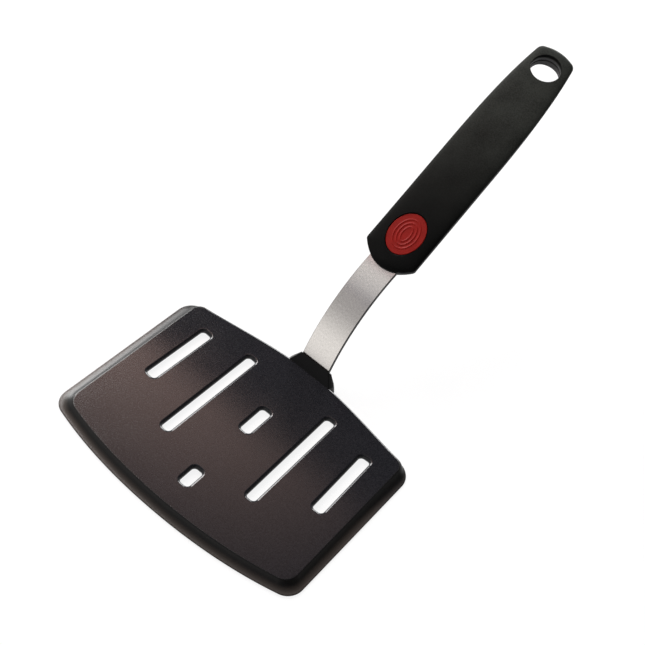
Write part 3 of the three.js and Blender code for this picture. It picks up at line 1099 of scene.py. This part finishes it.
    def plate(self, placing: Matrix) -> Piece:
        """The slotted blade without its collar.

        Args:
            placing: Where the blade's frame stands.

        Returns:
            The closed mesh, with the edge that takes the painted highlight marked.
        """
        shell = Shell("silicone_blade")
        edge = []
        for inset, height in self.edge_profile():
            outline = self.outline(inset, self.rim(height))
            edge.append([Vector((point.x, point.y, height)) for point in outline])
        loops = [shell.stack(edge)]
        # The cove's faces, short of the back rim, take the edge finish with its painted highlight.
        for face in shell.form.faces:
            painted_sheen_edge = face.calc_center_median().y < self.length - self.painted_sheen_back_gap
            face.material_index = BladeFinish.EDGE if painted_sheen_edge else BladeFinish.FIELD
        loops += [shell.stack(self.slot_wall(slot)) for slot in self.slots()]
        for level, up in zip(zip(*loops), (-1, 1)):
            shell.flat_face(level, up)
        return shell.piece(placing)

    def collar_rings(self, neck: NeckStrip) -> list[Ring]:
        """The collar's base in the blade, its waist and its mouth round the neck.

        Args:
            neck: The strip that the collar holds.

        Returns:
            The three rings from below upwards.
        """
        cosine, sine = turned(neck.rise_angle)
        mouth = neck.arch_point(neck.rise_angle)
        reach = Vector((sine, -cosine)) * (neck.thickness / 2 + self.collar_gap + self.collar_wall)
        back = mouth + reach - Vector((cosine, sine)) * self.collar_mouth_drop
        toe = Vector((self.length - self.collar_front_reach, self.thickness))
        heel = Vector((self.length + self.collar_heel, 0))
        lift = Vector((0, self.collar_base_lift))
        ends = [
            (Vector((toe.x - self.collar_base_reach, 0)) + lift, heel + lift),
            (toe, back.lerp(heel, self.collar_waist)),
            (mouth - reach, back),
        ]
        rings = []
        shares = zip(self.collar_half_widths, self.collar_front_shares)
        for (front, rear), (half_width, front_share) in zip(ends, shares):
            sides = ((front_share, 0.0), *self.collar_sides)
            points = [(x * half_width, front.lerp(rear, share)) for x, share in sides]
            points += [(-x, place) for x, place in reversed(points)]
            rings.append([Vector((x, place.x, place.y)) for x, place in points])
        return rings

    def collar(self, neck: NeckStrip, placing: Matrix) -> Piece:
        """The wedge that climbs from the blade's back edge to a mouth round the neck.

        Args:
            neck: The strip that the collar holds.
            placing: Where the blade's frame stands.

        Returns:
            The closed mesh, with rounded edges.
        """
        shell = Shell("collar")
        shell.solid(self.collar_rings(neck))
        bmesh.ops.recalc_face_normals(shell.form, faces=shell.form.faces)
        limit = math.radians(self.collar_edge_angle)
        bmesh.ops.bevel(
            shell.form,
            geom=[edge for edge in shell.form.edges if edge.calc_face_angle(0) > limit],
            offset=self.collar_edge,
            segments=self.collar_edge_steps,
            profile=self.collar_edge_profile,
            affect="EDGES",
        )
        return shell.piece(placing)

    def build(self, neck: NeckStrip, placing: Matrix) -> Piece:
        """Builds and dresses the blade with its collar.

        Args:
            neck: The strip that the collar holds.
            placing: Where the blade's frame stands.

        Returns:
            The blade.
        """
        piece = self.plate(placing)
        # The collar takes a darker copy of the field's silicone: painted shade.
        shaded_collar = SatinSilicone("collar_silicone_painted_shade", self.collar_painted_shade_colours, gloss=self.collar_gloss)
        finishes = (SatinSilicone(), EdgeSiliconePaintedSheen(), shaded_collar)
        dress(piece, Surface.SILICONE, *(finish.material() for finish in finishes))
        shape(piece, self.collar(neck, placing), Shaping.JOIN)
        shape(piece, neck.body("neck_room", self.fit_gap, placing), Shaping.REMOVE)
        crisp(piece, self.crisp_angle)
        # Faces above the field, on the collar, take its painted shade.
        for face in piece.data.polygons:
            if face.center.z > (self.thickness + self.collar_edge) * MM:
                face.material_index = BladeFinish.COLLAR
        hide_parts("blade_jacket")
        return piece


@dataclass
class ThumbRest:
    """The red oval insert with raised oval ridges. Its frame is the handle's."""

    half_width: float = 8.37
    half_length: float = 10.28
    centre: float = 18.1
    thickness: float = 1.3
    sink: float = 0.35
    edge_round: float = 0.3
    edge_steps: int = 5
    ridges: tuple[Span, ...] = ((5.4, 7.4), (3.7, 5.6), (2.0, 3.8))
    ridge_height: float = 0.2
    ridge_half_width: float = 0.5
    ridge_fullness: float = 1.4
    ridge_steps: int = 10
    count: int = 128
    seat_break: float = 0.3
    seat_clearance: float = 2.0
    crisp_angle: float = 50.0

    def ring(self, half_width: float, half_length: float, height: float) -> Ring:
        """An oval of the insert at a height."""
        points = oval(half_width, half_length, self.count)
        return [Vector((point.x, point.y + self.centre, height)) for point in points]

    def grown(self, levels: Iterable[Span]) -> list[Ring]:
        """The insert's outline, grown by the first number of each level at the height of the second."""
        return [self.ring(self.half_width + grow, self.half_length + grow, height) for grow, height in levels]

    def rings(self) -> list[Ring]:
        """The insert's wall, its rounded edge and its ridges.

        Returns:
            The rings from below to the middle.
        """
        top = -self.sink
        edge = quarter(self.edge_round, self.edge_steps)
        rings = self.grown([(0.0, top - self.thickness), *((-inset, top - drop) for inset, drop in edge)])
        for half_width, half_length in self.ridges:
            for share in even(1, -1, self.ridge_steps):
                grow = share * self.ridge_half_width
                lift = self.ridge_height * math.cos(share * math.pi / 2) ** self.ridge_fullness
                rings.append(self.ring(half_width + grow, half_length + grow, top + lift))
        return rings

    def seat(self, gap: float, edge: float, placing: Matrix) -> Piece:
        """The room for the insert in the handle.

        Args:
            gap: The gap round the insert and under it.
            edge: The round on the seat's edge.
            placing: Where the handle's frame stands.

        Returns:
            A closed mesh to take away from the handle.
        """
        inner = self.seat_break * edge
        levels = [(gap, -self.sink - self.thickness - gap), (gap, -edge), (gap + inner, -inner)]
        levels += [(gap + edge, 0.0), (gap + edge, self.seat_clearance)]
        shell = Shell("thumb_seat")
        shell.solid(self.grown(levels))
        return shell.piece(placing)

    def build(self, placing: Matrix) -> Piece:
        """Builds and dresses the insert.

        Args:
            placing: Where the handle's frame stands.

        Returns:
            The insert.
        """
        shell = Shell("red_thumb_rest")
        shell.solid(self.rings())
        piece = shell.piece(placing)
        crisp(piece, self.crisp_angle)
        dress(piece, Surface.RED_INSERT, RedInsert().material())
        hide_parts("thumb_rest")
        return piece


@dataclass
class HandleGrip:
    """The soft grip: a flat crowned top and a round belly, with a hanging hole and the thumb rest's seat.

    In its own frame y runs from the front end and z from the crown of the top.
    """

    angle: float = 24.0
    over_neck: float = 2.9
    length: float = 125.1
    front_width: float = 27.5
    width: float = 27.2
    tail_width: float = 19.0
    front_bow: float = 6.9
    tail_bow: float = 1.6
    front_radius: float = 2.2
    tail_radius: float = 3.4
    side_pull_shares: Span = (0.25, 0.74)
    shoulder_shares: Span = (0.68, 0.125)
    tail_pull_shares: Span = (0.32, 0.06)
    outline_steps: tuple[int, ...] = (18, 10, 26, 30, 10, 12)
    crown: float = 1.6
    depths: tuple[float, ...] = (12.0, 12.6, 11.24, 6.36, 4.6)
    depth_shares: tuple[float, ...] = (0.0, 0.33, 0.62, 0.86, 1.0)
    belly_turns: tuple[float, ...] = (86, 80, 73, 66, 59, 52, 45, 38, 31, 24, 18, 12, 7, 3)
    belly_squareness: float = 2.0
    belly_end_round: float = 2.0
    top_turns: tuple[float, ...] = (0, 4, 9, 15, 21, 28, 35, 42, 50, 58, 66, 74, 80, 84, 87)
    top_squareness: float = 3.0
    top_end_round: float = 4.2
    hole_half_width: float = 7.3
    hole_half_length: float = 6.0
    hole_count: int = 96
    hole_lean: float = 8.0
    hole_tail_wall: float = 3.8
    hole_rim: float = 0.4
    hole_rim_steps: int = 6
    hole_groove: float = 0.3
    hole_groove_floor: float = 0.7
    hole_clearances: Span = (3.0, 2.0)
    hole_wall_reach: float = 1.03
    hole_rim_reach: float = 1.13
    hole_rim_upright: float = 0.95
    seat_gap: float = 0.25
    seat_edge: float = 0.2
    crisp_angle: float = 38.0

    def placing(self, neck: NeckStrip, row: Matrix) -> Matrix:
        """Where the handle's frame stands, over the place where the neck enters it.

        Args:
            neck: The strip that enters the grip.
            row: Where the blade's frame stands.

        Returns:
            The frame in metres.
        """
        cosine, sine = turned(self.angle)
        top = neck.arch_point(neck.entry_angle) + Vector((-sine, cosine)) * self.over_neck
        lean = Matrix.Rotation(math.radians(self.angle), 4, "X")
        return row @ Matrix.Translation(Vector((0, top.x, top.y)) * MM) @ lean

    def outline(self) -> Ring:
        """The handle's outline, seen square to its top.

        Returns:
            The ring, from the middle of the front end.
        """
        front = Vector((self.front_width / 2, self.front_bow))
        middle = Vector((self.width / 2, self.length / 2))
        tail = Vector((self.tail_width / 2, self.length - self.tail_bow))
        end = Vector((0, self.length))
        tail_pull, shoulder = (
            Vector((blend(tail.x, middle.x, across), tail.y - along * self.length))
            for across, along in (self.tail_pull_shares, self.shoulder_shares)
        )
        front_pull = Vector((front.x / 2, 0))
        side_pulls = [Vector((middle.x, share * self.length)) for share in self.side_pull_shares]
        front_corner = round_corner(front_pull, front, side_pulls[0], self.front_radius)
        tail_corner = round_corner(tail_pull, tail, end, self.tail_radius)
        curves = [
            [Vector((0, 0)), front_pull, front_corner[0]],
            front_corner,
            [front_corner[-1], side_pulls[0], middle],
            [middle, side_pulls[1], shoulder, tail_corner[0]],
            tail_corner,
            [tail_corner[-1], Vector((tail_corner[-1].x / 2, self.length)), end],
        ]
        return outlined(curves, self.outline_steps)

    def depth(self, y: float) -> float:
        """How deep the handle is, on a smooth curve through its measured depths.

        Args:
            y: The place along the handle.

        Returns:
            The depth there.
        """
        places = [share * self.length for share in self.depth_shares]
        y = min(max(y, 0.0), self.length)
        index = max(index for index, place in enumerate(places[:-1]) if place <= y)
        slopes = self.depth_slopes(places)
        run = places[index + 1] - places[index]
        share = (y - places[index]) / run
        rest = 1 - share
        start, end = self.depths[index : index + 2]
        value = start * (1 + 2 * share) * rest**2 + end * share**2 * (3 - 2 * share)
        return value + run * share * rest * (slopes[index] * rest - slopes[index + 1] * share)

    def depth_slopes(self, places: list[float]) -> list[float]:
        """The slope of the depth at each measured place, level at both ends."""
        pairs = zip(places, places[2:], self.depths, self.depths[2:])
        return [0.0, *((deeper - depth) / (after - before) for before, after, depth, deeper in pairs), 0.0]

    def ring(self, outline: Ring, share: float, end_round: float, lift: float, drop: float) -> Ring:
        """One ring of the handle.

        Args:
            outline: The handle's outline.
            share: How wide the ring is, as a share of the outline.
            end_round: How far both ends are drawn in where the ring closes.
            lift: How far it is up the crown, from 0 to 1.
            drop: How far it is down the belly, from 0 to 1.

        Returns:
            The ring in the handle's frame.
        """
        middle = self.length / 2
        ends = 1 - end_round * (1 - share) / middle
        ring = []
        for point in outline:
            y = middle + (point.y - middle) * ends
            height = -self.crown * (1 - lift) - (self.depth(y) - self.crown) * drop
            ring.append(Vector((point.x * share, y, height)))
        return ring

    def rings(self) -> list[Ring]:
        """The belly's and the top's rings.

        Returns:
            The rings from below upwards.
        """
        outline = self.outline()
        rings = []
        for turn in self.belly_turns:
            share, drop = (side ** (2 / self.belly_squareness) for side in turned(turn))
            rings.append(self.ring(outline, share, self.belly_end_round, 0.0, drop))
        for turn in self.top_turns:
            share, lift = (side ** (2 / self.top_squareness) for side in turned(turn))
            rings.append(self.ring(outline, share, self.top_end_round, lift, 0.0))
        return rings

    def hole_line(self) -> Span:
        """The hole's middle on the crown, and how far it moves along the handle for each height."""
        centre = self.length - self.hole_tail_wall - self.hole_half_length
        return centre, math.tan(math.radians(self.angle + self.hole_lean))

    def hole_finish(self, place: Vector, upright: float) -> GripFinish:
        """The finish of a face at the hanging hole.

        Args:
            place: The face's middle in the handle's frame.
            upright: How far the face looks up there, from -1 to 1.

        Returns:
            The bare plastic of the wall, the rubber of the rim without the painted sheen, which paints a dark
            line, or the rubber elsewhere.
        """
        centre, lean = self.hole_line()
        y = place.y - centre - lean * place.z
        reach = (place.x / self.hole_half_width) ** 2 + (y / self.hole_half_length) ** 2
        if reach < self.hole_wall_reach and place.z < -self.hole_rim - self.hole_groove:
            return GripFinish.HOLE_WALL
        # The rim leaves out the painted sheen: painted shade, a dark line round the hole.
        if reach < self.hole_rim_reach and upright < self.hole_rim_upright:
            return GripFinish.HOLE_RIM
        return GripFinish.RUBBER

    def hole(self, placing: Matrix) -> Piece:
        """The oval hanging hole, near upright when the blade lies flat, with two fine grooves.

        Args:
            placing: Where the handle's frame stands.

        Returns:
            A closed mesh to take away from the handle.
        """
        centre, lean = self.hole_line()
        depth = self.depth(centre)
        rim, groove = self.hole_rim, self.hole_groove
        floor = self.hole_groove_floor * groove
        below, above = self.hole_clearances
        edge = quarter(rim, self.hole_rim_steps)
        levels = [(rim, -depth - below), *((grow, rise - depth) for rise, grow in edge)]
        for height in (-depth / 2, -rim - 2 * groove):
            levels += [(0.0, height - groove), (groove, height - floor)]
            levels += [(groove, height + floor), (0.0, height + groove)]
        levels += [*((grow, -drop) for drop, grow in reversed(edge)), (rim, above)]
        rings = []
        for grow, height in levels:
            flat = oval(self.hole_half_width + grow, self.hole_half_length + grow, self.hole_count)
            rings.append([Vector((point.x, point.y + centre + lean * height, height)) for point in flat])
        shell = Shell("hanging_hole")
        shell.solid(rings)
        return shell.piece(placing)

    def build(self, neck: NeckStrip, thumb: ThumbRest, row: Matrix) -> Piece:
        """Builds and dresses the grip.

        Args:
            neck: The strip that enters the grip.
            thumb: The insert that the grip has a seat for.
            row: Where the blade's frame stands.

        Returns:
            The grip.
        """
        placing = self.placing(neck, row)
        shell = Shell("soft_handle")
        for end in shell.stack(self.rings()):
            shell.lid(end)
        piece = shell.piece(placing)
        shape(piece, self.hole(placing), Shaping.REMOVE)
        shape(piece, thumb.seat(self.seat_gap, self.seat_edge, placing), Shaping.REMOVE)
        shape(piece, neck.body("neck_room", self.seat_gap, row), Shaping.REMOVE)
        crisp(piece, self.crisp_angle)
        # The rim's rubber without the painted sheen paints a dark shaded line round the hole.
        rim_without_sheen = SoftGrip("rim_rubber", painted_sheen=SoftGrip.colours[0])
        finishes = (SoftGrip(), HardPlastic("bare_wall"), rim_without_sheen)
        dress(piece, Surface.SOFT_GRIP, *(finish.material() for finish in finishes))
        inwards = Matrix.Scale(1 / MM, 4) @ placing.inverted()
        for face in piece.data.polygons:
            upright = (inwards.to_3x3() @ face.normal).z * MM
            face.material_index = self.hole_finish(inwards @ face.center, upright)
        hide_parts("handle_grip")
        return piece


@dataclass
class InnerPieces:
    """The solids that the jacket and the grip hide. They stay as they are and get their finishes."""

    rivets: tuple[str, ...] = ("neck_rivet_left", "neck_rivet_right", "neck_rivet_front")
    plate_stretch: Place = (60, 6000, 60)
    rivet_stretch: Place = (900, 900, 900)

    def build(self) -> list[Piece]:
        """Dresses the solids.

        Returns:
            The solids.
        """
        plate_steel = BrushedSteel("spring_steel", coordinates="Object", stretch=self.plate_stretch)
        rivet_steel = BrushedSteel("rivet_steel", coordinates="Object", stretch=self.rivet_stretch)
        wearers = (
            (plate_steel, ("blade_core",)),
            (rivet_steel, self.rivets),
            (HardPlastic(), ("handle_core",)),
        )
        dressed = []
        for finish, names in wearers:
            material = finish.material()
            for name in names:
                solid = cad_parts[name]
                for place in solid.material_slots:
                    place.material = material
                dressed.append(solid)
        return dressed


# Studio


def aimed(place: Place, target: Place, roll: float) -> Matrix:
    """How a lamp or a camera stands.

    Args:
        place: Where it stands.
        target: The point that it looks at.
        roll: How far it is turned about its line of sight, in degrees.

    Returns:
        Its frame in metres.
    """
    aim = (Vector(target) - Vector(place)).to_track_quat("-Z", "Y")
    turn = aim @ Quaternion((0.0, 0.0, 1.0), math.radians(roll))
    return Matrix.Translation(place) @ turn.to_matrix().to_4x4()


@dataclass(frozen=True)
class Lamp:
    """A soft lamp panel, which looks straight down unless it has a target."""

    name: str
    place: Place
    size: Span
    brightness: float
    target: Place | None = None
    roll: float = 0.0
    colour: Colour = (1.0, 1.0, 1.0)
    across: Span = (1.0, 1.0)
    along: Span = (1.0, 1.0)

    def build(self) -> None:
        """Adds the lamp to the scene, out of the camera's sight."""
        light = bpy.data.lights.new(self.name, "AREA")
        light.shape = "RECTANGLE"
        light.size, light.size_y = self.size
        light.energy = self.brightness * math.pi * self.size[0] * self.size[1]
        light.color = self.colour
        self.shade(NodeTree(light))
        lamp = add(self.name, light)
        lamp.matrix_world = aimed(self.place, self.target or (*self.place[:2], 0.0), self.roll)
        lamp.visible_camera = False

    def shade(self, tree: NodeTree) -> None:
        """Lets the panel fade from one end to the other, across it and along it.

        Args:
            tree: The nodes of the lamp.
        """
        axes = tree.axes(tree.node("NewGeometry").outputs["Parametric"])
        across = tree.fade(axes["X"], (0.0, 1.0), self.across)
        along = tree.fade(axes["Y"], (0.0, 1.0), self.along)
        tree.join(tree.number("MULTIPLY", across, along), tree.nodes["Emission"].inputs["Strength"])


@dataclass
class Studio:
    """A plain white floor, soft lamps and the camera."""

    floor_half: float = 4.0
    floor_cells: int = 8
    floor_drop: float = 0.0002
    floor_colour: Colour = (0.94, 0.94, 0.94)
    floor_roughness: float = 0.9
    floor_glow: float = 0.86
    horizon: Colour = (1.14, 1.13, 1.11)
    horizon_end: float = 0.30
    upper_wall: Colour = (0.46, 0.455, 0.455)
    upper_wall_heights: Span = (0.64, 0.75)
    ceiling: Colour = (0.21, 0.215, 0.26)
    ceiling_start: float = 0.80
    right_share: float = 0.25
    right_reach: Span = (-0.1, 0.5)
    right_heights: Span = (0.08, 0.28)
    lens: float = 111.27
    sensor: float = 36.0
    sight: Span = (0.01, 50.0)
    eye: Place = (0.29733, -0.44406, 0.71877)
    eye_target: Place = (-0.01588, -0.00271, 0.0)
    eye_roll: float = 8.0027
    lamps: tuple[Lamp, ...] = (
        Lamp(
            "window_left",
            (-1.12, 0.449, 0.90),
            (0.38, 1.80),
            17.0,
            target=(0.0, 0.449, 0.90),
            roll=14.0,
            along=(0.55, 1.5),
        ),
        Lamp("window_back", (-0.45, 1.25, 0.50), (0.5, 0.90), 15.0, target=(0.0, -0.03, 0.10)),
        Lamp(
            "panel_over_neck",
            (-0.065, -0.095, 0.30),
            (0.17, 0.13),
            0.68,
            colour=(1.0, 1.0, 0.92),
            along=(0.5, 1.0),
        ),
        Lamp(
            "panel_over_front",
            (-0.265, -0.11, 0.30),
            (0.18, 0.20),
            2.4,
            colour=(1.0, 0.83, 0.75),
            along=(0.4, 1.0),
        ),
        Lamp(
            "panel_over_blade",
            (-0.18, 0.040, 0.30),
            (0.32, 0.100),
            8.4,
            colour=(1.0, 0.66, 0.56),
            across=(1.0, 0.06),
            along=(0.15, 1.08),
        ),
    )

    def floor(self) -> None:
        """Adds the floor, which shows white and keeps the object's shadow."""
        form = bmesh.new()
        cells = self.floor_cells
        bmesh.ops.create_grid(form, x_segments=cells, y_segments=cells, size=self.floor_half)
        mesh = bpy.data.meshes.new("floor")
        form.to_mesh(mesh)
        form.free()
        mesh.materials.append(self.floor_material())
        piece = add("floor", mesh)
        piece.location.z = -self.floor_drop

    def floor_material(self) -> Material:
        """White paint that glows for what looks at it, so that it shows as a white background.

        Returns:
            The material.
        """
        recipe = Recipe("white_floor")
        colour = (*self.floor_colour, 1)
        recipe.base(Base_Color=colour, Roughness=self.floor_roughness, Specular_IOR_Level=0.0)
        rays = recipe.node("LightPath").outputs
        seen = recipe.number("ADD", rays["Is Camera Ray"], rays["Is Glossy Ray"], clamp=True)
        seen = recipe.number("ADD", seen, rays["Is Transmission Ray"], clamp=True)
        mix = recipe.node("MixShader")
        recipe.join(recipe.number("MULTIPLY", seen, self.floor_glow), mix.inputs["Fac"])
        recipe.join(recipe.shader.outputs["BSDF"], mix.inputs[1])
        recipe.join(recipe.node("Emission").outputs["Emission"], mix.inputs[2])
        recipe.join(mix.outputs["Shader"], recipe.nodes["Material Output"].inputs["Surface"])
        return recipe.material

    def room(self) -> None:
        """Sets the room's light: white round the horizon, dim overhead and dimmer on the upper right."""
        world = bpy.data.worlds.new("studio")
        tree = NodeTree(world)
        axes = tree.axes(tree.node("TexCoord").outputs["Generated"])
        walls = [(height, self.upper_wall) for height in self.upper_wall_heights]
        stops = [(self.horizon_end, self.horizon), *walls, (self.ceiling_start, self.ceiling)]
        right = tree.fade(axes["X"], self.right_reach, (0.0, 1 - self.right_share))
        above = tree.fade(axes["Z"], self.right_heights, (0.0, -1.0))
        background = tree.nodes["Background"]
        tree.join(tree.ramp(axes["Z"], stops), background.inputs["Color"])
        tree.join(tree.number("MULTIPLY_ADD", right, above, 1.0), background.inputs["Strength"])
        bpy.context.scene.world = world

    def camera(self) -> None:
        """Adds the camera, above the front right of the blade."""
        view = bpy.data.cameras.new("camera")
        view.lens = self.lens
        view.sensor_width = self.sensor
        view.clip_start, view.clip_end = self.sight
        eye = add("camera", view)
        eye.matrix_world = aimed(self.eye, self.eye_target, self.eye_roll)
        bpy.context.scene.camera = eye

    def build(self) -> None:
        """Sets up the floor, the light and the camera."""
        bpy.context.scene.view_settings.view_transform = "Standard"
        self.room()
        self.floor()
        for lamp in self.lamps:
            lamp.build()
        self.camera()


def main() -> None:
    """Builds the spatula piece by piece, and the studio round it."""
    logging.basicConfig(level=logging.INFO, format="%(name)s: %(message)s")
    front_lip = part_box("blade_jacket")[0].y
    row = Matrix.Translation((0, front_lip, 0))
    neck = NeckStrip()
    thumb = ThumbRest()
    grip = HandleGrip()
    pieces = [
        BladeJacket().build(neck, row),
        neck.build(row),
        grip.build(neck, thumb, row),
        thumb.build(grip.placing(neck, row)),
    ]
    for piece in pieces:
        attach(piece, BODY)
        LOG.info("%s: %d faces", piece.name, len(piece.data.polygons))
    for solid in InnerPieces().build():
        LOG.info("%s keeps its solid", solid.name)
    Studio().build()


if __name__ == "__main__":
    main()
